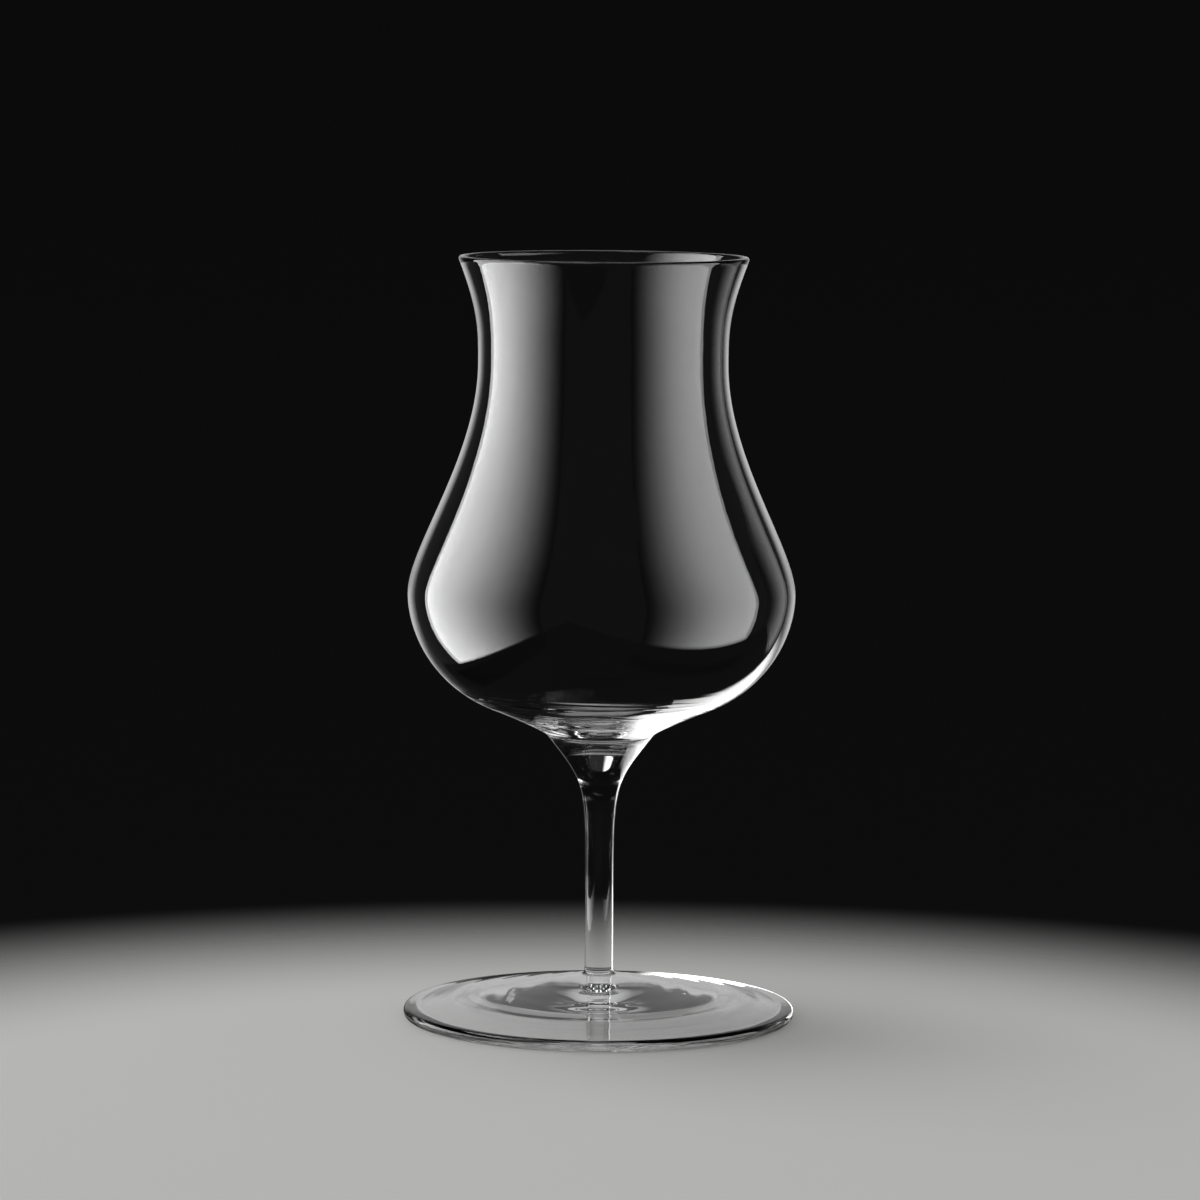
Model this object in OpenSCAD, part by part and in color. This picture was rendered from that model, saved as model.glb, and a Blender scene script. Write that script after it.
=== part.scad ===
// Stemmed whisky glass, mouth blown from three gathers of clear glass.
// The bowl, the stem with its flared head, and the conical foot are fused hot at two seats.
// Millimetres. The glass stands on Z = 0 with its axis on Z.

/* [Bowl outside] */
// Height from the joint ring under the bowl to the top of the lip
bowl_h = 99; // [90:0.5:125]
// Outer diameter across the lip
rim_d = 59.6; // [50:0.2:74]
// Angle by which the wall leans out at the lip, from upright
rim_flare = 21; // [8:1:32]
// Height of the waist above the joint ring
waist_h = 77; // [62:0.5:84]
// Outer diameter at the waist
waist_d = 51.4; // [42:0.2:64]
// Height of the belly above the joint ring
belly_h = 29.4; // [24:0.2:38]
// Outer diameter at the belly
belly_d = 80; // [66:0.5:98]
// Height above the joint ring at which the underside turns hollow
turn_h = 5.6; // [4:0.1:7]
// Diameter at which the underside turns hollow
turn_d = 44.8; // [36:0.2:54]
// Slope of the underside at that turn, from level
turn_slope = 20.5; // [12:0.5:30]
// Diameter of the joint ring between bowl and stem head
joint_d = 22; // [17:0.2:27]
// Slope of the underside where it meets the joint ring, from level
joint_slope = 45; // [32:1:58]

/* [Bowl wall] */
// Wall at the lip, which is melted to a full round
lip_wall = 1.1; // [0.8:0.05:1.6]
// Wall at the waist
waist_wall = 1.3; // [0.9:0.05:1.8]
// Wall at the belly
belly_wall = 1.4; // [1:0.05:1.9]
// Wall at the turn of the underside, square to the surface
turn_wall = 1.45; // [1.2:0.05:2.6]
// Slope of the inside over that turn, from level
inner_turn_slope = 20.5; // [20:0.5:36]
// Glass on the axis between the inner floor and the seat of the stem
floor_wall = 4.2; // [3:0.1:6]

/* [Curve pulls, as shares of each span] */
// Below the lip
rim_pull = 0.52; // [0.3:0.01:0.6]
// Above the waist
waist_upper_pull = 0.32; // [0.2:0.01:0.5]
// Below the waist
waist_lower_pull = 0.39; // [0.25:0.01:0.5]
// Above the belly
belly_upper_pull = 0.19; // [0.12:0.01:0.4]
// Below the belly, outside
belly_lower_pull = 0.26; // [0.18:0.01:0.4]
// Above the turn of the underside
turn_upper_pull = 0.46; // [0.3:0.01:0.55]
// Below the turn of the underside
turn_lower_pull = 0.17; // [0.1:0.01:0.4]
// Above the joint ring
joint_pull = 0.12; // [0.08:0.01:0.35]
// Below the belly, inside
inner_belly_pull = 0.24; // [0.2:0.01:0.4]
// Above the turn, inside
inner_turn_upper_pull = 0.48; // [0.3:0.01:0.5]
// Below the turn, inside
inner_turn_lower_pull = 0.32; // [0.2:0.01:0.4]
// Beside the axis on the inner floor
inner_floor_pull = 0.35; // [0.25:0.01:0.45]
// Below the joint ring, on the stem head
head_pull = 0.39; // [0.25:0.01:0.5]
// Above the slimmest place of the stem
slim_pull = 0.65; // [0.3:0.01:0.75]

/* [Stem] */
// Height from the foot's seat to the joint ring
stem_h = 49.1; // [36:0.2:64]
// Slope of the stem head at the joint ring, from level
head_slope = 52; // [40:1:66]
// How far the bowl's round underside dips into the stem head
seat_dip = 2.5; // [1.5:0.1:3.5]
// Diameter at the slimmest place
slim_d = 5.6; // [4.4:0.1:7.4]
// Height of the slimmest place above the foot's seat
slim_h = 19.5; // [12:0.5:26]
// Diameter where the stem stands on the foot
stem_base_d = 5.9; // [4.6:0.1:7.6]

/* [Foot] */
// Outer diameter
foot_d = 81.2; // [66:0.2:98]
// Height of the seat that carries the stem
foot_h = 9.9; // [7:0.1:13]
// Thickness of the rounded edge
edge_wall = 2.4; // [1.8:0.1:3.2]
// Radius of the fillet round the stem
stem_fillet = 1; // [0.5:0.1:2]
// Width of the flat ring on which the glass rests
rest_w = 2; // [1:0.5:9]
// Rise of the hollow under the foot, on the axis
hollow_h = 4; // [2:0.1:4.8]

/* [Hidden] */
$fn = 180;
glass_colour = [0.86, 0.91, 0.93, 0.5];
span_steps = 18;
arc_steps = 10;

// Levels of the two seats
foot_seat_z = foot_h;
joint_z = foot_seat_z + stem_h;

// Stations of the bowl, as [radius, height], from the lip down
lip_r = lip_wall / 2;
lip_centre = [rim_d / 2 - lip_r, joint_z + bowl_h - lip_r];
waist = [waist_d / 2, joint_z + waist_h];
belly = [belly_d / 2, joint_z + belly_h];
turn = [turn_d / 2, joint_z + turn_h];
joint_ring = [joint_d / 2, joint_z];
inner_waist = waist - [waist_wall, 0];
inner_belly = belly - [belly_wall, 0];
inner_turn = turn + turn_wall * [-sin(turn_slope), cos(turn_slope)];
inner_floor = [0, joint_z - seat_dip + floor_wall];

// Stations of the stem
slim = [slim_d / 2, foot_seat_z + slim_h];
stem_base = [stem_base_d / 2, foot_seat_z];

// Round edge and stem fillet of the foot, and the slope of the cone that touches both
edge_r = edge_wall / 2;
edge_centre = [foot_d / 2 - edge_r, edge_r];
fillet_centre = [stem_base_d / 2 + stem_fillet, foot_seat_z];
fillet_to_edge = edge_centre - fillet_centre;
foot_slope = -atan2(fillet_to_edge[1], fillet_to_edge[0])
    - asin((edge_r + stem_fillet) / norm(fillet_to_edge));
rest_inner_r = edge_centre[0] - rest_w;

// Unit vector at an angle from the radial direction
function heading(angle) = [cos(angle), sin(angle)];

// Point on a cubic curve with two guide points
function cubic(a, b, c, d, t) =
    pow(1 - t, 3) * a + 3 * pow(1 - t, 2) * t * b + 3 * (1 - t) * t * t * c + t * t * t * d;

// Curve from a to b that leaves and arrives along two headings, without its last point
function span(a, b, leave, arrive, pull_a, pull_b) =
    let (reach = norm(b - a), c = a + pull_a * reach * heading(leave), d = b - pull_b * reach * heading(arrive))
    [for (i = [0 : span_steps - 1]) cubic(a, c, d, b, i / span_steps)];

// Round arc between two angles, with both ends
function arc(centre, radius, from, to) =
    [for (i = [0 : arc_steps]) centre + radius * heading(from + (to - from) * i / arc_steps)];

// Radius of the round dome that spans a ring and rises by a height on its axis
function dome_radius(ring_r, rise) = (ring_r * ring_r + rise * rise) / (2 * rise);

// The same points in the other order, without the last of the turned list
function reversed(points) = [for (i = [len(points) - 1 : -1 : 1]) points[i]];

// Outside of the bowl from the lip down to just before the joint ring
function bowl_outside() =
    let (lip = lip_centre + lip_r * heading(-rim_flare))
    concat(
        span(lip, waist, 270 - rim_flare, 270, rim_pull, waist_upper_pull),
        span(waist, belly, 270, 270, waist_lower_pull, belly_upper_pull),
        span(belly, turn, 270, 180 + turn_slope, belly_lower_pull, turn_upper_pull),
        span(turn, joint_ring, 180 + turn_slope, 180 + joint_slope, turn_lower_pull, joint_pull)
    );

// Round seat between bowl and stem head, from the joint ring in to the axis
function joint_seat() =
    let (radius = dome_radius(joint_ring[0], seat_dip), half = asin(joint_ring[0] / radius))
    arc([0, joint_z - seat_dip + radius], radius, -90 + half, -90);

// Inside of the bowl from the floor on the axis up to just before the lip
function bowl_inside() =
    let (lip = lip_centre - lip_r * heading(-rim_flare))
    concat(
        span(inner_floor, inner_turn, 0, inner_turn_slope, inner_floor_pull, inner_turn_lower_pull),
        span(inner_turn, inner_belly, inner_turn_slope, 90, inner_turn_upper_pull, inner_belly_pull),
        span(inner_belly, inner_waist, 90, 90, belly_upper_pull, waist_lower_pull),
        span(inner_waist, lip, 90, 90 - rim_flare, waist_upper_pull, rim_pull)
    );

// Full round of the lip, from the inside over the top
function lip_round() = arc(lip_centre, lip_r, 180 - rim_flare, -rim_flare);

// Flare of the stem head from the joint ring down to just before the slimmest place
function stem_flare() = span(joint_ring, slim, 180 + head_slope, 270, head_pull, slim_pull);

// Top of the foot from the stem fillet over the cone and round the edge to the resting ring
function foot_top() =
    concat(
        arc(fillet_centre, stem_fillet, 180, 270 - foot_slope),
        arc(edge_centre, edge_r, 90 - foot_slope, -90)
    );

// Hollow under the foot, from the resting ring in to the axis
function foot_hollow() =
    let (radius = dome_radius(rest_inner_r, hollow_h), half = asin(rest_inner_r / radius))
    arc([0, hollow_h - radius], radius, 90 - half, 90);

// Thin-walled waisted bowl with its thick round bottom
module bowl() {
    color(glass_colour)
        rotate_extrude()
            polygon(concat(bowl_outside(), joint_seat(), bowl_inside(), lip_round()));
}

// Slim stem drawn out of the gather that spreads under the bowl
module stem() {
    color(glass_colour)
        rotate_extrude()
            polygon(concat(stem_flare(), [slim, stem_base, [0, foot_seat_z]], reversed(joint_seat())));
}

// Conical foot with a rounded edge, a flat resting ring and a hollow underside
module foot() {
    color(glass_colour)
        rotate_extrude()
            polygon(concat([[0, foot_seat_z]], foot_top(), foot_hollow()));
}

bowl();
stem();
foot();
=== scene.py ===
"""Looks of a stemmed whisky glass: bowl, stem and foot of clear blown glass on a pale floor."""

import logging
import math
from dataclasses import dataclass
from enum import IntEnum
from typing import Any, Optional, Union

import bmesh
import bpy
from mathutils import Matrix, Vector
from mathutils.geometry import interpolate_bezier


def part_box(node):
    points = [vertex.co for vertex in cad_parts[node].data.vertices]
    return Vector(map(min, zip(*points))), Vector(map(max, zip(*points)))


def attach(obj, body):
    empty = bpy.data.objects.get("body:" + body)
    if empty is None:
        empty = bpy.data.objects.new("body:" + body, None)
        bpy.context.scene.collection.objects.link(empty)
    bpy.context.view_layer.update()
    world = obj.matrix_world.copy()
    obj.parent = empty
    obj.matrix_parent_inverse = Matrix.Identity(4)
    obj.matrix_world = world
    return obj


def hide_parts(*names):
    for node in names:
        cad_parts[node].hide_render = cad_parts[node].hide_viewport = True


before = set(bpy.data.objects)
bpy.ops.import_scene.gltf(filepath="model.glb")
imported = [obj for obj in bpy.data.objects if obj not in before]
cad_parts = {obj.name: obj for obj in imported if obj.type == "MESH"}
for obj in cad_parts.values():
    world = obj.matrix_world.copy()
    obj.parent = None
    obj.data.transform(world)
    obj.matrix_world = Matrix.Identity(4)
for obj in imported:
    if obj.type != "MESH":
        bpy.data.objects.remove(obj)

log = logging.getLogger("whisky_glass")

MM = 0.001
FULL_TURN = 2.0 * math.pi
SECTOR = FULL_TURN / 8
SECTOR_STEPS = 32
SPAN_STEPS = 36
CONE_STEPS = 3 * SPAN_STEPS
ARC_STEPS = 12
REST_STEPS = 4
SEAT_STEPS = 2
WELD = 0.0005 * MM
LIGHT_BOUNCES = 24
MIRROR_BOUNCES = 12
CLEAR_BOUNCES = 16
BODY = "root"
WHITE = (1.0, 1.0, 1.0, 1.0)


class Surface(IntEnum):
    """Material slots of a glass piece."""

    OUTSIDE = 0
    SEAT = 1
    INSIDE = 2


Number = Union[float, "Value"]


class Value:
    """A number in a shader, which adds Math nodes when it is used in an expression."""

    def __init__(self, graph: "Graph", socket: bpy.types.NodeSocket) -> None:
        """Wraps one output socket.

        Args:
            graph: The node tree that the socket belongs to.
            socket: The output socket that carries the number.
        """
        self.graph = graph
        self.socket = socket

    def _math(self, operation: str, first: Number, second: Number) -> "Value":
        """Adds one Math node.

        Args:
            operation: The node's operation.
            first: Its first value.
            second: Its second value.

        Returns:
            The node's result.
        """
        return self.graph.add("ShaderNodeMath", {"operation": operation}, {0: first, 1: second})

    def __add__(self, other: Number) -> "Value":
        """Returns the sum."""
        return self._math("ADD", self, other)

    def __radd__(self, other: Number) -> "Value":
        """Returns the sum, with the number first."""
        return self._math("ADD", other, self)

    def __sub__(self, other: Number) -> "Value":
        """Returns the difference."""
        return self._math("SUBTRACT", self, other)

    def __rsub__(self, other: Number) -> "Value":
        """Returns the difference, with the number first."""
        return self._math("SUBTRACT", other, self)

    def __mul__(self, other: Number) -> "Value":
        """Returns the product."""
        return self._math("MULTIPLY", self, other)

    def __rmul__(self, other: Number) -> "Value":
        """Returns the product, with the number first."""
        return self._math("MULTIPLY", other, self)

    def __truediv__(self, other: Number) -> "Value":
        """Returns the quotient."""
        return self._math("DIVIDE", self, other)

    def __pow__(self, other: Number) -> "Value":
        """Returns the power."""
        return self._math("POWER", self, other)

    def larger(self, other: Number) -> "Value":
        """Returns the larger of two values."""
        return self._math("MAXIMUM", self, other)

    def below(self, other: Number) -> "Value":
        """Returns 1 where the value is less than another, and 0 elsewhere."""
        return self._math("LESS_THAN", self, other)

    def angle_from(self, other: Number) -> "Value":
        """Returns the angle, in radians, of a point this far to the side and another distance ahead."""
        return self._math("ARCTAN2", self, other)

    def ease(self, low: float, high: float) -> "Value":
        """Eases smoothly from 0 at one limit to 1 at the other.

        Args:
            low: Where the result is 0.
            high: Where the result is 1.

        Returns:
            The eased value.
        """
        settings = {"interpolation_type": "SMOOTHSTEP"}
        return self.graph.add("ShaderNodeMapRange", settings, {0: self, 1: low, 2: high, 3: 0.0, 4: 1.0})


class Graph:
    """A node tree of a material, the world or a lamp, with one way of adding nodes.

    The counts of a ray are whole numbers, so the limits that part them lie half-way between.
    """

    NONE = 0.5
    UP_TO_TWO = 2.5

    def __init__(self, owner: Any) -> None:
        """Empties the owner's node tree.

        Args:
            owner: The material, world or lamp that holds the tree.
        """
        owner.use_nodes = True
        self.tree = owner.node_tree
        self.tree.nodes.clear()

    def add(
        self, kind: str, settings: Optional[dict] = None, inputs: Optional[dict] = None, out: Any = 0
    ) -> Optional[Value]:
        """Adds a node.

        Args:
            kind: The node's type.
            settings: Its own settings, which are set first.
            inputs: Values, or links from other nodes, by socket name or place.
            out: The output that is returned, by name or place.

        Returns:
            The output, ready for expressions, or None if the node has no output.
        """
        node = self.tree.nodes.new(kind)
        for name, setting in (settings or {}).items():
            setattr(node, name, setting)
        for name, given in (inputs or {}).items():
            if isinstance(given, Value):
                self.tree.links.new(given.socket, node.inputs[name])
            else:
                node.inputs[name].default_value = given
        return Value(self, node.outputs[out]) if node.outputs else None

    def split(self, vector: Value) -> list[Value]:
        """Splits a vector into its three parts.

        Args:
            vector: The vector.

        Returns:
            The parts along X, Y and Z.
        """
        node = self.add("ShaderNodeSeparateXYZ", inputs={0: vector}).socket.node
        return [Value(self, socket) for socket in node.outputs]

    def place(self) -> Value:
        """Returns the piece's own coordinates, in metres."""
        return self.add("ShaderNodeTexCoord", out="Object")

    def noise(self, vector: Value, scale: float, detail: float) -> Value:
        """Adds a cloud of noise.

        Args:
            vector: Where it is read.
            scale: How many swells it has in a unit of length.
            detail: How many finer layers it has.

        Returns:
            The noise, around 0.5.
        """
        return self.add("ShaderNodeTexNoise", inputs={"Vector": vector, "Scale": scale, "Detail": detail})

    def path(self, fact: str) -> Value:
        """Returns one fact about the ray that looks at the surface."""
        return self.add("ShaderNodeLightPath", out=fact)

    def seen(self) -> Value:
        """Returns 1 on rays that show the stage: straight, mirrored or through glass."""
        kinds = ("Camera", "Glossy", "Transmission")
        camera, glossy, through = (self.path(f"Is {kind} Ray") for kind in kinds)
        return camera.larger(glossy).larger(through) * self.path("Diffuse Depth").below(self.NONE)

    def mirrored(self) -> Value:
        """Returns 1 on rays that glass has mirrored at least once."""
        straight = self.path("Glossy Depth").below(self.NONE)
        return (1.0 - straight) * self.path("Diffuse Depth").below(self.NONE)

    def near_wall(self) -> Value:
        """Marks rays that glass has mirrored at the wall nearest to the viewer.

        Such a ray was mirrored by the outer skin, or passed it, was mirrored inside and left again. One from
        the far wall has passed both skins of the near wall before it was mirrored, or has passed more.

        Returns:
            1 on those rays, and 0 on the others.
        """
        skins = self.path("Transmission Depth") + 1.0 - self.path("Is Transmission Ray")
        return self.mirrored() * skins.below(self.UP_TO_TWO)

    def outer_skin(self) -> Value:
        """Returns 1 on rays that the outer skin of the glass has mirrored."""
        return self.mirrored() * self.path("Transmission Depth").below(self.NONE)


@dataclass(frozen=True)
class ClearGlass:
    """Clear blown glass whose surface keeps faint cords from its turning."""

    name: str
    cord_heights: tuple[float, float]
    cord_pitch: float = 1.8 * MM
    cord_depth: float = 0.06 * MM
    cord_edge: tuple[float, float] = (0.38, 0.66)
    cord_radii: tuple[float, float] = (11.5 * MM, 16.0 * MM)
    cords_round: float = 1.2
    cord_grain: float = 1.0
    cord_layers: float = 0.0
    ior: float = 1.5
    tint: tuple[float, float, float, float] = (0.985, 0.992, 0.99, 1.0)
    haze: float = 0.015
    haze_grain: float = 70.0
    haze_layers: float = 3.0
    haze_edge: tuple[float, float] = (0.5, 0.75)
    axis_gap: float = 0.5 * MM

    def material(self) -> bpy.types.Material:
        """Builds the finish.

        Returns:
            The material.
        """
        material = bpy.data.materials.new(self.name)
        graph = Graph(material)
        place = graph.place()
        x, y, z = graph.split(place)
        radius = (x * x + y * y) ** 0.5 + self.axis_gap
        around = [part * self.cords_round / radius for part in (x, y)]
        along = (z + radius) / self.cord_pitch
        turned = graph.add("ShaderNodeCombineXYZ", inputs={0: around[0], 1: around[1], 2: along})
        spread = z.ease(*self.cord_heights) * radius.ease(*self.cord_radii)
        cords = graph.noise(turned, self.cord_grain, self.cord_layers).ease(*self.cord_edge) * spread
        relief = {"Height": cords, "Distance": self.cord_depth, "Strength": 1.0}
        bump = graph.add("ShaderNodeBump", inputs=relief)
        grain = graph.noise(place, self.haze_grain, self.haze_layers).ease(*self.haze_edge)
        shader = graph.add(
            "ShaderNodeBsdfPrincipled",
            inputs={
                "Base Color": self.tint,
                "Roughness": self.haze * grain,
                "IOR": self.ior,
                "Transmission Weight": 1.0,
                "Normal": bump,
            },
        )
        graph.add("ShaderNodeOutputMaterial", inputs={"Surface": shader})
        return material


@dataclass(frozen=True)
class FusedSeat:
    """The seat between two gathers, where the glass has run together and nothing shows."""

    name: str = "fused_seat"

    def material(self) -> bpy.types.Material:
        """Builds the finish.

        Returns:
            The material.
        """
        material = bpy.data.materials.new(self.name)
        graph = Graph(material)
        shader = graph.add("ShaderNodeBsdfTransparent")
        graph.add("ShaderNodeOutputMaterial", inputs={"Surface": shader})
        return material


@dataclass(frozen=True)
class PaleFloor:
    """Pale matt sheet whose pale pool round its centre is painted light: it fades into the dim backdrop at a
    distance, in place of lamp light falling off.

    The glass mirrors it as a dim table that ends at the left, the right and the rear, so that the panels show
    past its edges, and that glows in its right rear corner. Close round the foot, the foot's edge shows the
    sheet as it is. Each of the table's edges has an azimuth and a distance from the axis.
    """

    foot_radius: float
    name: str = "pale_floor"
    colour: tuple[float, float, float, float] = (0.66, 0.66, 0.65, 1.0)
    table_glow: float = 0.008
    corner_glow: float = 4.4
    corner_left: tuple[float, float] = (0.008, 0.02)
    corner_front: tuple[float, float] = (-0.031, -0.019)
    corner_rear: tuple[float, float] = (0.3, 0.12)
    corner_front_facing: float = -126.0
    foot_reach: tuple[float, float] = (0.0, 0.002)
    foot_gap: float = 0.012
    # Where the painted pool of light is centred, and where it starts and ends fading.
    centre: float = -0.12
    painted_pool_from: float = 0.14
    painted_pool_to: float = 0.27
    edges: tuple[tuple[float, float], ...] = ((-90.0, 0.112), (50.0, 0.13), (180.0, 0.13))
    edge_blur: float = 0.004

    def material(self) -> bpy.types.Material:
        """Builds the finish.

        Returns:
            The material.
        """
        material = bpy.data.materials.new(self.name)
        graph = Graph(material)
        x, y, _ = graph.split(graph.place())
        # Painted pool of light: the sheet is pale round the centre and fades to clear, over the dim backdrop,
        # with distance.
        along = y - self.centre
        away = ((x * x + along * along) ** 0.5).ease(self.painted_pool_from, self.painted_pool_to)
        past = [ahead(x, y, facing).ease(edge, edge + self.edge_blur) for facing, edge in self.edges]
        front = ahead(x, y, self.corner_front_facing).ease(*self.corner_front)
        corner = x.ease(*self.corner_left) * front * y.ease(*self.corner_rear)
        glow = self.table_glow + self.corner_glow * corner * graph.outer_skin()
        sheet = graph.add("ShaderNodeBsdfDiffuse", inputs={"Color": self.colour})
        table = graph.add("ShaderNodeEmission", inputs={"Color": WHITE, "Strength": glow})
        clear = graph.add("ShaderNodeBsdfTransparent")
        straight = graph.add("ShaderNodeMixShader", inputs={0: away * graph.seen(), 1: sheet, 2: clear})
        ends = past[0].larger(past[1]).larger(past[2] * (1.0 - corner))
        around = graph.add("ShaderNodeMixShader", inputs={0: ends, 1: table, 2: clear})
        beside = ((x * x + y * y) ** 0.5 - self.foot_radius).ease(*self.foot_reach)
        close = beside * graph.near_wall() * graph.path("Ray Length").below(self.foot_gap)
        reflected = graph.add("ShaderNodeMixShader", inputs={0: close, 1: around, 2: sheet})
        mixed = graph.add("ShaderNodeMixShader", inputs={0: graph.mirrored(), 1: straight, 2: reflected})
        graph.add("ShaderNodeOutputMaterial", inputs={"Surface": mixed})
        material.cycles.emission_sampling = "NONE"
        return material


def ahead(x: Value, y: Value, facing: float) -> Value:
    """Works out how far a place or direction reaches towards an azimuth.

    Args:
        x: Its part to the right.
        y: Its part away from the camera.
        facing: The azimuth, in degrees from the camera's side, positive to the right.

    Returns:
        The reach.
    """
    return x * math.sin(math.radians(facing)) - y * math.cos(math.radians(facing))


@dataclass(frozen=True)
class Station:
    """A place on a turned outline, with the outline's heading there in degrees from outward."""

    radius: float
    height: float
    heading: float

    def point(self) -> Vector:
        """Returns the place in the XZ plane."""
        return Vector((self.radius, 0.0, self.height))

    def ahead(self, distance: float) -> Vector:
        """Returns the point that lies a distance along the heading."""
        return self.point() + distance * direction(self.heading)

    def moved(self, distance: float) -> "Station":
        """Returns the station that lies a distance along the heading."""
        point = self.ahead(distance)
        return Station(point.x, point.z, self.heading)


def direction(angle: float) -> Vector:
    """Returns the unit vector in the XZ plane at an angle in degrees from outward."""
    return Vector((math.cos(math.radians(angle)), 0.0, math.sin(math.radians(angle))))


class Outline:
    """A chain of points in the XZ plane."""

    def __init__(self) -> None:
        """Starts an empty chain."""
        self.points: list[Vector] = []

    def add(self, points: list[Vector]) -> "Outline":
        """Adds points, without the first where the chain already ends there.

        Args:
            points: The points, in order.

        Returns:
            The outline itself.
        """
        meets = self.points and (self.points[-1] - points[0]).length < WELD
        self.points += points[1:] if meets else points
        return self

    def curve(
        self, start: Station, end: Station, pull_start: float, pull_end: float, steps: int = SPAN_STEPS
    ) -> "Outline":
        """Adds a cubic curve between two stations.

        Args:
            start: The station that it leaves.
            end: The station at which it arrives.
            pull_start: Reach of the first guide point, as a share of the straight distance.
            pull_end: Reach of the last guide point, likewise.
            steps: How many straight pieces stand for it.

        Returns:
            The outline itself.
        """
        reach = (end.point() - start.point()).length
        first, last = start.ahead(pull_start * reach), end.ahead(-pull_end * reach)
        return self.add(interpolate_bezier(start.point(), first, last, end.point(), steps + 1))

    def arc(
        self, centre: Vector, radius: float, first: float, last: float, steps: int = ARC_STEPS
    ) -> "Outline":
        """Adds a round arc.

        Args:
            centre: Its centre.
            radius: Its radius.
            first: The angle at which it starts, in degrees from outward.
            last: The angle at which it ends.
            steps: How many straight pieces stand for it.

        Returns:
            The outline itself.
        """
        angles = [first + (last - first) * step / steps for step in range(steps + 1)]
        return self.add([centre + radius * direction(angle) for angle in angles])

    def line(self, start: Vector, end: Vector, steps: int) -> "Outline":
        """Adds a straight run in equal steps.

        Args:
            start: Its first point.
            end: Its last point.
            steps: How many steps it has.

        Returns:
            The outline itself.
        """
        return self.add([start.lerp(end, step / steps) for step in range(steps + 1)])


class Lathe:
    """Turns outlines about the Z axis into one closed mesh, from one sector that is repeated round."""

    def __init__(self) -> None:
        """Starts an empty mesh."""
        self.mesh = bmesh.new()

    def turn(self, outline: Outline, surface: Surface) -> None:
        """Turns one outline through the first sector.

        Args:
            outline: The outline, in the XZ plane.
            surface: The material slot of its faces.
        """
        mesh = self.mesh
        earlier = set(mesh.faces)
        verts = [mesh.verts.new(point) for point in outline.points]
        edges = [mesh.edges.new(pair) for pair in zip(verts, verts[1:])]
        bmesh.ops.spin(
            mesh, geom=verts + edges, cent=(0, 0, 0), axis=(0, 0, 1), angle=SECTOR, steps=SECTOR_STEPS
        )
        for face in set(mesh.faces) - earlier:
            face.material_index = surface
            face.smooth = True

    def close(self) -> None:
        """Repeats the sector round, joins the runs, closes the poles and points the faces outwards."""
        angle = SECTOR
        while angle < FULL_TURN - SECTOR / 2:
            whole = self.mesh.verts[:] + self.mesh.edges[:] + self.mesh.faces[:]
            copied = bmesh.ops.duplicate(self.mesh, geom=whole)["geom"]
            verts = [part for part in copied if isinstance(part, bmesh.types.BMVert)]
            bmesh.ops.rotate(self.mesh, verts=verts, cent=(0, 0, 0), matrix=Matrix.Rotation(angle, 3, "Z"))
            angle *= 2
        bmesh.ops.remove_doubles(self.mesh, verts=self.mesh.verts[:], dist=WELD)
        bmesh.ops.dissolve_degenerate(self.mesh, edges=self.mesh.edges[:], dist=WELD)
        bmesh.ops.recalc_face_normals(self.mesh, faces=self.mesh.faces[:])
        for edge in self.mesh.edges:
            slots = {face.material_index for face in edge.link_faces}
            edge.smooth = len(slots) < 2 or Surface.SEAT not in slots

    def piece(self, node: str, finishes: list[bpy.types.Material]) -> bpy.types.Object:
        """Makes the mesh an object that stands for a node.

        Args:
            node: The node that it stands for.
            finishes: The materials of its slots, in order.

        Returns:
            The object.
        """
        made = shown_object(f"{node}_glass", self.mesh, finishes)
        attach(made, BODY)
        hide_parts(node)
        return made


def shown_object(
    name: str, mesh: bmesh.types.BMesh, finishes: list[bpy.types.Material]
) -> bpy.types.Object:
    """Puts a mesh into the scene as an object at the origin.

    Args:
        name: The object's name.
        mesh: The mesh, which is used up.
        finishes: The materials of its slots, in order.

    Returns:
        The object.
    """
    data = bpy.data.meshes.new(name)
    mesh.to_mesh(data)
    mesh.free()
    for finish in finishes:
        data.materials.append(finish)
    made = bpy.data.objects.new(name, data)
    bpy.context.scene.collection.objects.link(made)
    return made


def dome(ring_radius: float, ring_z: float, rise: float) -> tuple[Vector, float, float]:
    """Works out the round dome that spans a level ring.

    Args:
        ring_radius: The ring's radius.
        ring_z: The ring's height.
        rise: How far the dome rises over the ring on the axis, or dips below it where it is negative.

    Returns:
        The dome's centre on the axis, its radius, and half the angle that it spans, in degrees.
    """
    radius = (ring_radius**2 + rise**2) / (2.0 * abs(rise))
    centre = Vector((0.0, 0.0, ring_z + rise - math.copysign(radius, rise)))
    return centre, radius, math.degrees(math.asin(ring_radius / radius))


@dataclass(frozen=True)
class JointRing:
    """Ring at which the bowl and the stem head were fused, with a fine crease all round."""

    radius: float
    height: float
    dip: float
    crease_depth: float = 0.09 * MM
    crease_reach: float = 0.3 * MM
    crease_pull: float = 0.4

    def crease(self, heading: float) -> Station:
        """Returns the bottom of the crease, as a station with the given heading."""
        return Station(self.radius - self.crease_depth, self.height, heading)

    def seat(self) -> Outline:
        """Draws the round seat under the bowl, from the crease in to the axis.

        Returns:
            The outline.
        """
        centre, radius, half = dome(self.radius - self.crease_depth, self.height, -self.dip)
        return Outline().arc(centre, radius, -90.0 + half, -90.0)


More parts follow.
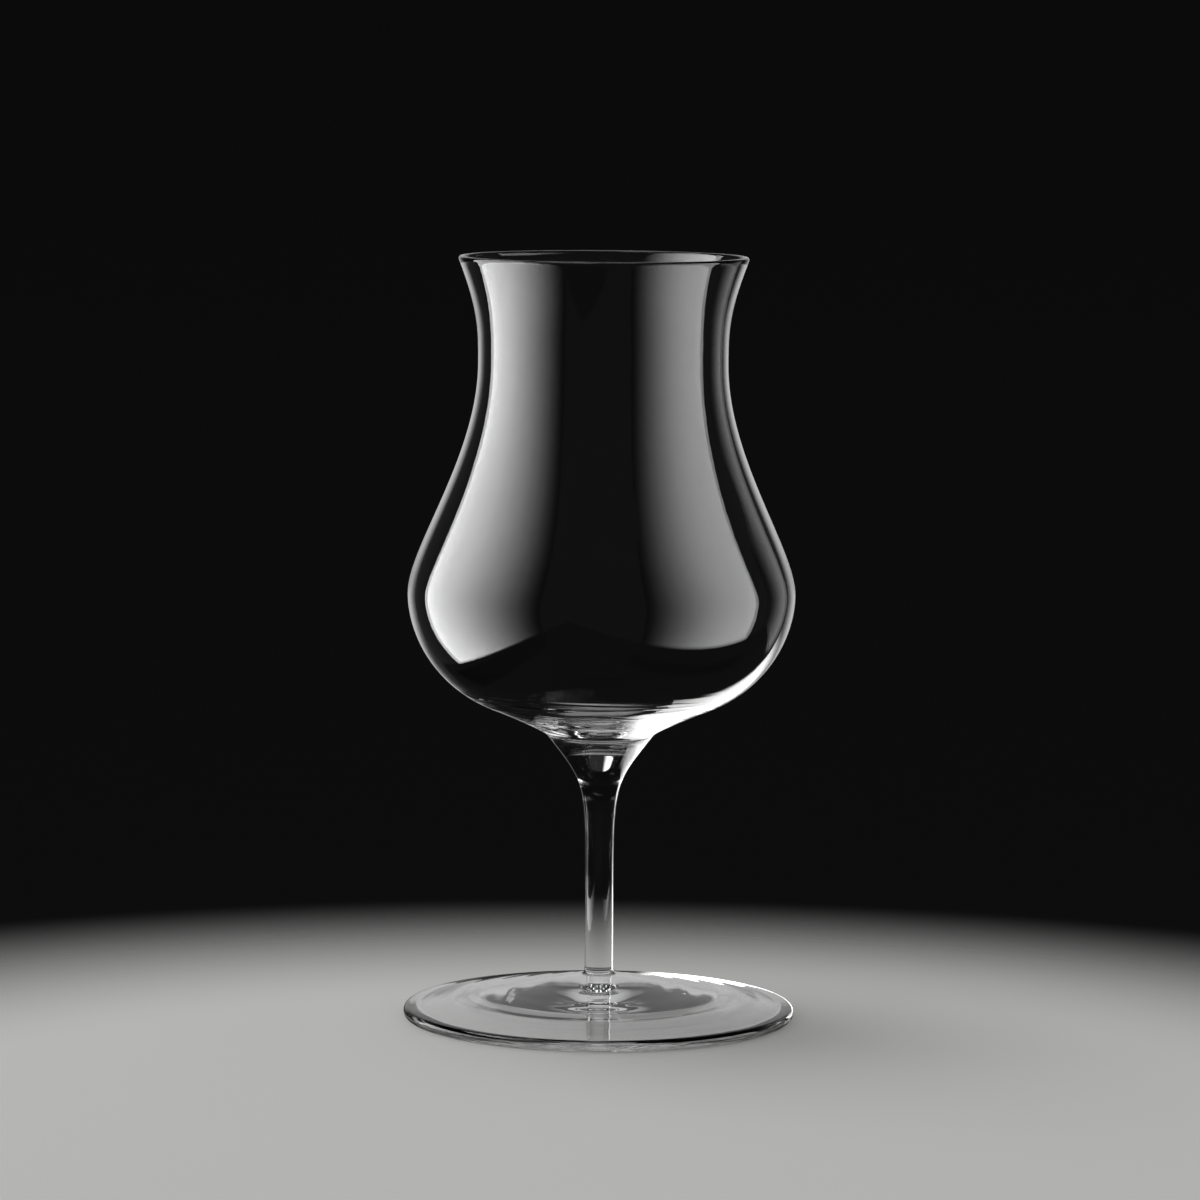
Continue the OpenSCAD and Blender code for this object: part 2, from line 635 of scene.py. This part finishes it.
@dataclass
class Bowl:
    """Thin waisted bowl with a round lip and a thick bottom. Heights are over the joint ring."""

    ring: JointRing
    top_z: float
    belly_radius: float
    node: str = "bowl"
    shades_floor: bool = True
    rim_radius: float = 29.8 * MM
    rim_flare: float = 21.0
    waist_height: float = 77.0 * MM
    waist_radius: float = 25.7 * MM
    belly_height: float = 29.4 * MM
    turn_height: float = 5.6 * MM
    turn_radius: float = 22.4 * MM
    turn_slope: float = 20.5
    joint_slope: float = 45.0
    lip_wall: float = 1.1 * MM
    waist_wall: float = 1.3 * MM
    belly_wall: float = 1.4 * MM
    turn_wall: float = 1.45 * MM
    inner_turn_slope: float = 20.5
    floor_wall: float = 4.2 * MM
    rim_pulls: tuple[float, float] = (0.52, 0.32)
    waist_pulls: tuple[float, float] = (0.39, 0.19)
    belly_pulls: tuple[float, float] = (0.26, 0.46)
    turn_pulls: tuple[float, float] = (0.17, 0.12)
    inner_belly_pulls: tuple[float, float] = (0.24, 0.48)
    inner_turn_pulls: tuple[float, float] = (0.32, 0.35)
    cord_top: float = 13.0 * MM
    cord_full: float = 7.0 * MM
    inner_cord_depth: float = 0.005 * MM

    def build(self) -> Lathe:
        """Turns the outside, the seat, the inside and the lip.

        Returns:
            The closed mesh.
        """
        lathe = Lathe()
        lathe.turn(self.outside(), Surface.OUTSIDE)
        lathe.turn(self.ring.seat(), Surface.SEAT)
        lathe.turn(self.inside(), Surface.INSIDE)
        lathe.close()
        return lathe

    def dress(self, fused: bpy.types.Material) -> list[bpy.types.Material]:
        """Makes the finishes, with cords round the bottom.

        Args:
            fused: The finish of the seats.

        Returns:
            The materials of the slots, in order.
        """
        heights = (self.ring.height + self.cord_top, self.ring.height + self.cord_full)
        outside = ClearGlass("bowl_glass", heights)
        inside = ClearGlass("bowl_inside_glass", heights, cord_depth=self.inner_cord_depth)
        return [outside.material(), fused, inside.material()]

    def lip_centre(self) -> Vector:
        """Returns the centre of the lip's round."""
        return Vector((self.rim_radius - self.lip_wall / 2, 0.0, self.top_z - self.lip_wall / 2))

    def outside(self) -> Outline:
        """Draws the outside, from the lip down to the joint ring.

        Returns:
            The outline.
        """
        lip = self.lip_centre() + self.lip_wall / 2 * direction(-self.rim_flare)
        rim = Station(lip.x, lip.z, 270.0 - self.rim_flare)
        ring = self.ring
        waist = Station(self.waist_radius, ring.height + self.waist_height, 270.0)
        belly = Station(self.belly_radius, ring.height + self.belly_height, 270.0)
        turn = Station(self.turn_radius, ring.height + self.turn_height, 180.0 + self.turn_slope)
        joint = Station(ring.radius, ring.height, 180.0 + self.joint_slope).moved(-ring.crease_reach)
        outline = Outline().curve(rim, waist, *self.rim_pulls).curve(waist, belly, *self.waist_pulls)
        outline.curve(belly, turn, *self.belly_pulls).curve(turn, joint, *self.turn_pulls)
        return outline.curve(joint, ring.crease(180.0), ring.crease_pull, ring.crease_pull, ARC_STEPS)

    def inside(self) -> Outline:
        """Draws the inside, from the floor on the axis up and over the lip.

        Returns:
            The outline.
        """
        lip = self.lip_centre() - self.lip_wall / 2 * direction(-self.rim_flare)
        ring = self.ring
        floor = Station(0.0, ring.height - ring.dip + self.floor_wall, 0.0)
        over_turn = Vector((self.turn_radius, 0.0, ring.height + self.turn_height))
        over_turn += self.turn_wall * direction(90.0 + self.turn_slope)
        turn = Station(over_turn.x, over_turn.z, self.inner_turn_slope)
        belly = Station(self.belly_radius - self.belly_wall, ring.height + self.belly_height, 90.0)
        waist = Station(self.waist_radius - self.waist_wall, ring.height + self.waist_height, 90.0)
        rim = Station(lip.x, lip.z, 90.0 - self.rim_flare)
        outline = Outline().curve(floor, turn, *reversed(self.inner_turn_pulls))
        outline.curve(turn, belly, *reversed(self.inner_belly_pulls))
        outline.curve(belly, waist, *reversed(self.waist_pulls)).curve(waist, rim, *reversed(self.rim_pulls))
        return outline.arc(self.lip_centre(), self.lip_wall / 2, 180.0 - self.rim_flare, -self.rim_flare)


@dataclass
class Stem:
    """Slim solid stem with a flared head under the bowl."""

    ring: JointRing
    base_z: float
    node: str = "stem"
    shades_floor: bool = True
    head_slope: float = 52.0
    slim_radius: float = 2.8 * MM
    slim_height: float = 19.5 * MM
    base_radius: float = 2.95 * MM
    head_pulls: tuple[float, float] = (0.39, 0.65)
    cord_reach: float = 4.0 * MM
    cord_depth: float = 0.01 * MM
    cord_radii: tuple[float, float] = (4.0 * MM, 10.0 * MM)

    def build(self) -> Lathe:
        """Turns the side, the seat under the bowl and the seat on the foot.

        Returns:
            The closed mesh.
        """
        ring = self.ring
        head = Station(ring.radius, ring.height, 180.0 + self.head_slope).moved(ring.crease_reach)
        slim = Station(self.slim_radius, self.base_z + self.slim_height, 270.0)
        base = Vector((self.base_radius, 0.0, self.base_z))
        side = Outline().curve(ring.crease(270.0), head, ring.crease_pull, ring.crease_pull, ARC_STEPS)
        side.curve(head, slim, *self.head_pulls)
        lathe = Lathe()
        lathe.turn(side.line(slim.point(), base, SPAN_STEPS), Surface.OUTSIDE)
        lathe.turn(Outline().line(base, Vector((0.0, 0.0, self.base_z)), SEAT_STEPS), Surface.SEAT)
        lathe.turn(ring.seat(), Surface.SEAT)
        lathe.close()
        return lathe

    def dress(self, fused: bpy.types.Material) -> list[bpy.types.Material]:
        """Makes the finishes, with faint cords at the top of the head alone.

        Args:
            fused: The finish of the seats.

        Returns:
            The materials of the slots, in order.
        """
        heights = (self.ring.height - self.cord_reach, self.ring.height)
        outside = ClearGlass("stem_glass", heights, cord_depth=self.cord_depth, cord_radii=self.cord_radii)
        return [outside.material(), fused]


@dataclass
class Foot:
    """Conical foot with a round edge, a flat resting ring and a hollow underside.

    It lets the lamp's light through to the floor on which it lies.
    """

    radius: float
    seat_z: float
    seat_radius: float
    node: str = "foot"
    shades_floor: bool = False
    edge_wall: float = 2.4 * MM
    stem_fillet: float = 1.0 * MM
    rest_width: float = 2.0 * MM
    hollow_height: float = 4.0 * MM
    ripple_height: float = 0.05 * MM
    ripple_pitch: float = 6.0 * MM
    swirl_pitch: float = 3.0 * MM
    swirl_depth: float = 0.025 * MM
    swirl_edge: tuple[float, float] = (0.3, 0.7)
    swirl_radii: tuple[float, float] = (4.0 * MM, 12.0 * MM)
    swirls_round: float = 0.5
    swirl_reach: float = 1.0 * MM

    def build(self) -> Lathe:
        """Turns the top, the underside and the seat of the stem.

        Returns:
            The closed mesh.
        """
        lathe = Lathe()
        lathe.turn(self.skin(), Surface.OUTSIDE)
        rim = Vector((self.seat_radius, 0.0, self.seat_z))
        lathe.turn(Outline().line(rim, Vector((0.0, 0.0, self.seat_z)), SEAT_STEPS), Surface.SEAT)
        lathe.close()
        return lathe

    def dress(self, fused: bpy.types.Material) -> list[bpy.types.Material]:
        """Makes the finishes, with broad swirls all over.

        Args:
            fused: The finish of the seats.

        Returns:
            The materials of the slots, in order.
        """
        outside = ClearGlass(
            "foot_glass",
            cord_heights=(self.seat_z + self.swirl_reach, self.seat_z),
            cord_pitch=self.swirl_pitch,
            cord_depth=self.swirl_depth,
            cord_edge=self.swirl_edge,
            cord_radii=self.swirl_radii,
            cords_round=self.swirls_round,
        )
        return [outside.material(), fused]

    def skin(self) -> Outline:
        """Draws the fillet, cone, edge, resting ring and hollow, from the stem to the axis.

        Returns:
            The outline.
        """
        edge_radius = self.edge_wall / 2
        edge = Vector((self.radius - edge_radius, 0.0, edge_radius))
        fillet = Vector((self.seat_radius + self.stem_fillet, 0.0, self.seat_z))
        across = edge - fillet
        lean = -math.atan2(across.z, across.x) - math.asin((edge_radius + self.stem_fillet) / across.length)
        slope = math.degrees(lean)
        outline = Outline().arc(fillet, self.stem_fillet, 180.0, 270.0 - slope)
        cone_start, cone_end = outline.points[-1], edge + edge_radius * direction(90.0 - slope)
        cone = Outline().line(cone_start, cone_end, CONE_STEPS)
        outline.add([self.rippled(point, cone_start, cone_end, slope) for point in cone.points])
        outline.arc(edge, edge_radius, 90.0 - slope, -90.0)
        rest_inner = edge.x - self.rest_width
        outline.line(Vector((edge.x, 0.0, 0.0)), Vector((rest_inner, 0.0, 0.0)), REST_STEPS)
        centre, radius, half = dome(rest_inner, 0.0, self.hollow_height)
        return outline.arc(centre, radius, 90.0 - half, 90.0, SPAN_STEPS)

    def rippled(self, point: Vector, start: Vector, end: Vector, slope: float) -> Vector:
        """Sinks a point of the cone into one of the soft rings that the turning leaves.

        Args:
            point: A point of the plain cone.
            start: Where the cone leaves the fillet.
            end: Where the cone meets the edge.
            slope: The cone's slope, in degrees.

        Returns:
            The point, sunk square to the cone.
        """
        along = point.x - start.x
        ring = (1.0 - math.cos(FULL_TURN * along / self.ripple_pitch)) / 2
        swell = ring * math.sin(math.pi * along / (end.x - start.x))
        return point - self.ripple_height * swell * direction(90.0 - slope)


@dataclass(frozen=True)
class SoftPanel:
    """Flat upright panel of soft light close to the glass, which shows only where glass mirrors it.

    Azimuths are in degrees round the glass, from the camera's side, and positive to the right. The panel has
    a sharp rear edge and its full light up to the bright azimuth, and fades out towards its front. One
    without light is a dark card, which keeps the panel behind it out of the stem.
    """

    name: str
    facing: float
    distance: float
    rear: float
    bright: float
    front: float
    top: float
    bottom: float = -0.2
    radiance: float = 0.0

    def build(self) -> None:
        """Places the panel."""
        ends = [self.distance * math.tan(math.radians(end - self.facing)) for end in (self.rear, self.front)]
        middle, width = sum(ends) / 2, abs(ends[1] - ends[0])
        mesh = bmesh.new()
        bmesh.ops.create_grid(mesh, x_segments=1, y_segments=1, size=1.0)
        bmesh.ops.scale(mesh, vec=(width / 2, (self.top - self.bottom) / 2, 1.0), verts=mesh.verts)
        upright = Matrix.Rotation(math.pi / 2, 3, "X")
        bmesh.ops.rotate(mesh, cent=(0, 0, 0), matrix=upright, verts=mesh.verts)
        place = (middle, -self.distance, (self.top + self.bottom) / 2)
        bmesh.ops.translate(mesh, vec=place, verts=mesh.verts)
        turn = Matrix.Rotation(math.radians(self.facing), 3, "Z")
        bmesh.ops.rotate(mesh, cent=(0, 0, 0), matrix=turn, verts=mesh.verts)
        made = shown_object(self.name, mesh, [self.material()])

    def material(self) -> bpy.types.Material:
        """Builds the panel's light.

        Returns:
            The material.
        """
        material = bpy.data.materials.new(self.name)
        graph = Graph(material)
        x, y, _ = graph.split(graph.place())
        azimuth = x.angle_from(0.0 - y)
        glow = self.radiance * azimuth.ease(math.radians(self.front), math.radians(self.bright))
        clear = graph.add("ShaderNodeBsdfTransparent")
        light = graph.add("ShaderNodeEmission", inputs={"Color": WHITE, "Strength": glow})
        mixed = graph.add("ShaderNodeMixShader", inputs={0: graph.near_wall(), 1: clear, 2: light})
        graph.add("ShaderNodeOutputMaterial", inputs={"Surface": mixed})
        material.cycles.emission_sampling = "NONE"
        return material


LEFT_PANEL = SoftPanel(
    "left_panel", facing=-90.0, distance=0.22, rear=-121.0, bright=-99.0, front=-35.0, top=0.42, radiance=4.3
)
RIGHT_PANEL = SoftPanel(
    "right_panel", facing=50.0, distance=0.2, rear=100.7, bright=79.0, front=24.3, top=0.262, radiance=2.75
)
REAR_STRIP = SoftPanel(
    "rear_strip", facing=125.0, distance=0.3, rear=137.0, bright=135.0, front=112.0, top=0.19, radiance=0.4
)
LEFT_CARD = SoftPanel(
    "left_card", facing=-90.0, distance=0.06, rear=-114.0, bright=-99.0, front=-30.0, top=0.042, bottom=0.016
)
RIGHT_CARD = SoftPanel(
    "right_card", facing=50.0, distance=0.06, rear=95.0, bright=79.0, front=15.0, top=0.042, bottom=0.016
)


@dataclass
class Studio:
    """Pale floor, dim backdrop, soft panels, dark cards beside the stem and a soft lamp overhead."""

    foot_radius: float
    panels: tuple[SoftPanel, ...] = (LEFT_PANEL, RIGHT_PANEL, REAR_STRIP, LEFT_CARD, RIGHT_CARD)
    floor_radius: float = 3.0
    floor_segments: int = 96
    floor_gap: float = 0.1 * MM
    backdrop_low: float = 0.004
    backdrop_high: float = 0.003
    backdrop_rise: tuple[float, float] = (-0.2, 0.1)
    fill: float = 0.45
    haze: float = 0.02
    rear_glow: float = 0.5
    rear_spread: float = 30.0
    rear_core: float = 6.0
    rear_rise: tuple[float, float] = (-0.3, -0.16)
    overhead_glow: float = 1.3
    overhead_rise: tuple[float, float] = (0.86, 0.94)
    overhead_left: tuple[float, float] = (-0.06, -0.16)
    straight_up: float = 0.1
    lamp_energy: float = 6.0
    lamp_size: float = 0.9
    lamp_place: tuple[float, float, float] = (-0.45, 0.25, 1.3)

    def build(self) -> None:
        """Makes the floor, the world, the lamp, the panels and the cards."""
        self.floor()
        self.world()
        self.lamp()
        for panel in self.panels:
            panel.build()

    def floor(self) -> None:
        """Lays the floor under the glass."""
        mesh = bmesh.new()
        level = Matrix.Translation((0.0, 0.0, -self.floor_gap))
        sizes = {"radius": self.floor_radius, "segments": self.floor_segments}
        bmesh.ops.create_circle(mesh, cap_ends=True, matrix=level, **sizes)
        made = shown_object("floor", mesh, [PaleFloor(self.foot_radius).material()])

    def world(self) -> None:
        """Sets the backdrop that shows, the two glows that the glass mirrors and the fill light."""
        world = bpy.data.worlds.new("studio")
        bpy.context.scene.world = world
        graph = Graph(world)
        x, y, z = graph.split(graph.add("ShaderNodeTexCoord", out="Generated"))
        spread, core = (math.cos(math.radians(angle)) for angle in (self.rear_spread, self.rear_core))
        behind = y / ((x * x + y * y) ** 0.5).larger(self.straight_up)
        rear = self.rear_glow * behind.ease(spread, core) * z.ease(*self.rear_rise)
        overhead = self.overhead_glow * x.ease(*self.overhead_left) * z.ease(*self.overhead_rise)
        glow = rear + overhead + self.haze
        backdrop = self.backdrop_low + (self.backdrop_high - self.backdrop_low) * z.ease(*self.backdrop_rise)
        seen = graph.seen()
        shown = backdrop + graph.near_wall() * glow
        strength = seen * shown + (1.0 - seen) * self.fill
        light = graph.add("ShaderNodeBackground", inputs={"Color": WHITE, "Strength": strength})
        graph.add("ShaderNodeOutputWorld", inputs={"Surface": light})

    def lamp(self) -> None:
        """Hangs the soft lamp that casts the shadow on the floor."""
        data = bpy.data.lights.new("overhead_softbox", "AREA")
        data.size = self.lamp_size
        data.energy = self.lamp_energy
        made = bpy.data.objects.new(data.name, data)
        bpy.context.scene.collection.objects.link(made)
        place = Vector(self.lamp_place)
        turn = place.to_track_quat("Z", "Y").to_matrix().to_4x4()
        made.matrix_world = Matrix.Translation(place) @ turn
        made.visible_camera = made.visible_glossy = made.visible_transmission = False


@dataclass
class PhotoCamera:
    """Camera at the photograph's viewing angle."""

    aside: float = -0.00031
    distance: float = 1.0617
    height: float = 0.2018
    pitch: float = 6.168
    roll: float = 0.43
    focal_px: float = 5170.0
    image_px: float = 1200.0
    sensor: float = 36.0

    def build(self) -> bpy.types.Object:
        """Places the camera.

        Returns:
            The camera.
        """
        data = bpy.data.cameras.new("photo_camera")
        data.sensor_width = self.sensor
        data.lens = self.focal_px / self.image_px * self.sensor
        made = bpy.data.objects.new("photo_camera", data)
        bpy.context.scene.collection.objects.link(made)
        place = Matrix.Translation((self.aside, -self.distance, self.height))
        tilt = Matrix.Rotation(math.radians(90.0 - self.pitch), 4, "X")
        made.matrix_world = place @ tilt @ Matrix.Rotation(math.radians(self.roll), 4, "Z")
        bpy.context.scene.camera = made
        return made


def main() -> None:
    """Builds the glass, the studio and the camera."""
    logging.basicConfig(level=logging.INFO, format="%(message)s")
    scene = bpy.context.scene
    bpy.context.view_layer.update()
    bowl_low, bowl_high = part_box("bowl")
    stem_low, stem_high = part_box("stem")
    _, foot_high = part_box("foot")
    ring = JointRing(stem_high.x, stem_high.z, dip=stem_high.z - bowl_low.z)
    stem = Stem(ring, stem_low.z)
    bowl = Bowl(ring, bowl_high.z, bowl_high.x)
    foot = Foot(foot_high.x, foot_high.z, stem.base_radius)
    fused = FusedSeat().material()
    for part in (bowl, stem, foot):
        made = part.build().piece(part.node, part.dress(fused))
        made.visible_shadow = part.shades_floor
        log.info("%s: %d faces", made.name, len(made.data.polygons))
    Studio(foot_high.x).build()
    PhotoCamera().build()
    scene.view_settings.view_transform = "Standard"
    scene.cycles.max_bounces = LIGHT_BOUNCES
    scene.cycles.transmission_bounces = LIGHT_BOUNCES
    scene.cycles.glossy_bounces = MIRROR_BOUNCES
    scene.cycles.transparent_max_bounces = CLEAR_BOUNCES


if __name__ == "__main__":
    main()
